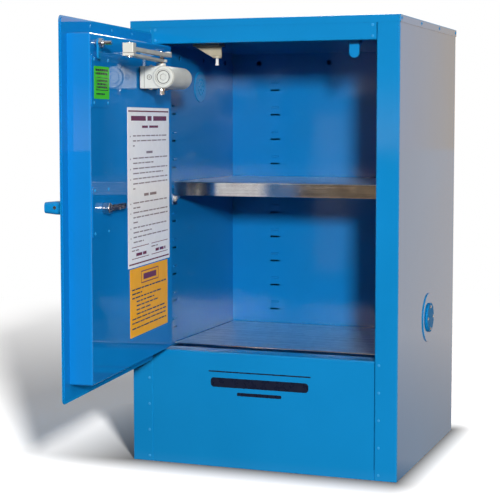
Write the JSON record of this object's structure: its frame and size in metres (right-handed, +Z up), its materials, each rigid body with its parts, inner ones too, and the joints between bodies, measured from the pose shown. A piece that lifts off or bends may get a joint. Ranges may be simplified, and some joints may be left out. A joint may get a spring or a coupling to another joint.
{
  "type": "flammable storage cabinet",
  "caption": "Small double-walled steel safety cabinet with sump base, lift-off shelves, bunged vents and a left-hinged self-closing door with lever handle.",
  "frame": {"origin": "centre of the cabinet's footprint, on the floor", "axes": "+Z up, +X to the right along the front, +Y to the back; the door opening faces -Y"},
  "size_m": [0.5108, 0.884, 0.8],
  "materials": {
    "blue_enamel": "smooth gloss powder coat",
    "liner_enamel": "smooth gloss powder coat",
    "galvanised": "galvanised sheet, faint spangle",
    "zinc": "bright zinc plate",
    "dark_steel": "oiled dark steel",
    "closer_silver": "silver-cream satin paint",
    "bracket_beige": "beige satin paint",
    "white_nylon": "smooth nylon",
    "label_white": "printed vinyl, letterless",
    "label_yellow": "printed vinyl, letterless",
    "label_green": "printed vinyl, letterless",
    "decal_dark": "dark vinyl, letterless",
    "brass_mesh": "woven mesh disc"
  },
  "bodies": {
    "cabinet": {"side_panel_left": "blue_enamel", "side_panel_right": "blue_enamel", "back_panel": "blue_enamel", "top_lid": "blue_enamel", "shell_rivets": "blue_enamel", "header_panel": "blue_enamel", "lower_front_panel": "blue_enamel", "front_spot_studs": "blue_enamel", "base_pan": "blue_enamel", "base_runners": "galvanised", "wall_spacers": "galvanised", "liner_left": "liner_enamel", "liner_right": "liner_enamel", "liner_back": "liner_enamel", "liner_ceiling": "liner_enamel", "sump_tray": "liner_enamel", "upper_shelf_clips": "zinc", "lower_shelf_rests": "liner_enamel", "vent_cowls": "blue_enamel", "vent_caps": "blue_enamel", "vent_ducts": "zinc", "vent_flash_arrestors": "brass_mesh", "vent_inner_grilles": "blue_enamel", "vent_cap_screws": "zinc", "closer_ceiling_bracket": "bracket_beige", "closer_ceiling_pin": "white_nylon", "strike_tab": "blue_enamel", "front_decal": "decal_dark", "hinge_frame_leaf": "zinc", "hinge_pin": "zinc"},
    "door": {"hinge_door_leaf": "zinc", "door_skin": "blue_enamel", "door_pan": "blue_enamel", "door_stiffeners": "galvanised", "door_rivets": "blue_enamel", "access_plates": "blue_enamel", "label_white": "label_white", "label_yellow": "label_yellow", "label_green": "label_green", "latch_boss": "zinc", "handle_rose": "blue_enamel", "closer_base_plate": "closer_silver", "closer_body": "closer_silver", "closer_end_caps": "closer_silver"},
    "handle": {"handle_lever": "blue_enamel", "handle_spindle": "zinc", "handle_grub_screw": "dark_steel", "inner_release_lever": "zinc", "handle_crank": "zinc"},
    "latch_link": {"latch_link": "zinc"},
    "latch": {"latch_crank": "zinc", "latch_spindle": "zinc", "latch_cam": "blue_enamel"},
    "closer_arm": {"closer_pinion": "zinc", "closer_arm_fasteners": "zinc", "closer_main_arm": "closer_silver", "closer_elbow_pin": "zinc"},
    "closer_forearm": {"closer_forearm": "closer_silver"},
    "upper_shelf": {"upper_shelf": "galvanised"},
    "lower_shelf": {"lower_shelf": "galvanised"}
  },
  "joints": [
    {"name": "door_hinge", "type": "hinge", "parent": "cabinet", "child": "door", "pos_m": [-0.208, -0.2282, 0.485], "axis": [0, 0, -1], "range_deg": [-84.3, 25.7]},
    {"name": "handle_turn", "type": "hinge", "parent": "door", "child": "handle", "pos_m": [-0.17284, -0.58045, 0.4855], "axis": [0.9951, 0.0993, 0], "range_deg": [0, 90]},
    {"name": "latch_link_pivot", "type": "hinge", "parent": "handle", "child": "latch_link", "pos_m": [-0.15025, -0.59025, 0.4855], "axis": [0.9951, 0.0993, 0], "range_deg": [-90, 0]},
    {"name": "latch_turn", "type": "hinge", "parent": "door", "child": "latch", "pos_m": [-0.13006, -0.60633, 0.7385], "axis": [0.9951, 0.0993, 0], "range_deg": [0, 90]},
    {"name": "closer_arm_swing", "type": "hinge", "parent": "door", "child": "closer_arm", "pos_m": [-0.11688, -0.38794, 0.72], "axis": [0, 0, 1], "range_deg": [0, 35]},
    {"name": "closer_forearm_swing", "type": "hinge", "parent": "closer_arm", "child": "closer_forearm", "pos_m": [-0.07115, -0.60949, 0.729], "axis": [0, 0, -1], "range_deg": [0, 75]},
    {"name": "upper_shelf_lift", "type": "slide", "parent": "cabinet", "child": "upper_shelf", "axis": [0, 0, 1], "range_m": [0, 0.06]},
    {"name": "lower_shelf_lift", "type": "slide", "parent": "cabinet", "child": "lower_shelf", "axis": [0, 0, 1], "range_m": [0, 0.06]}
  ],
  "couplings": [
    {"joint": "latch_link_pivot", "follows": "handle_turn", "ratio": -1},
    {"joint": "latch_turn", "follows": "handle_turn", "ratio": 1}
  ]
}
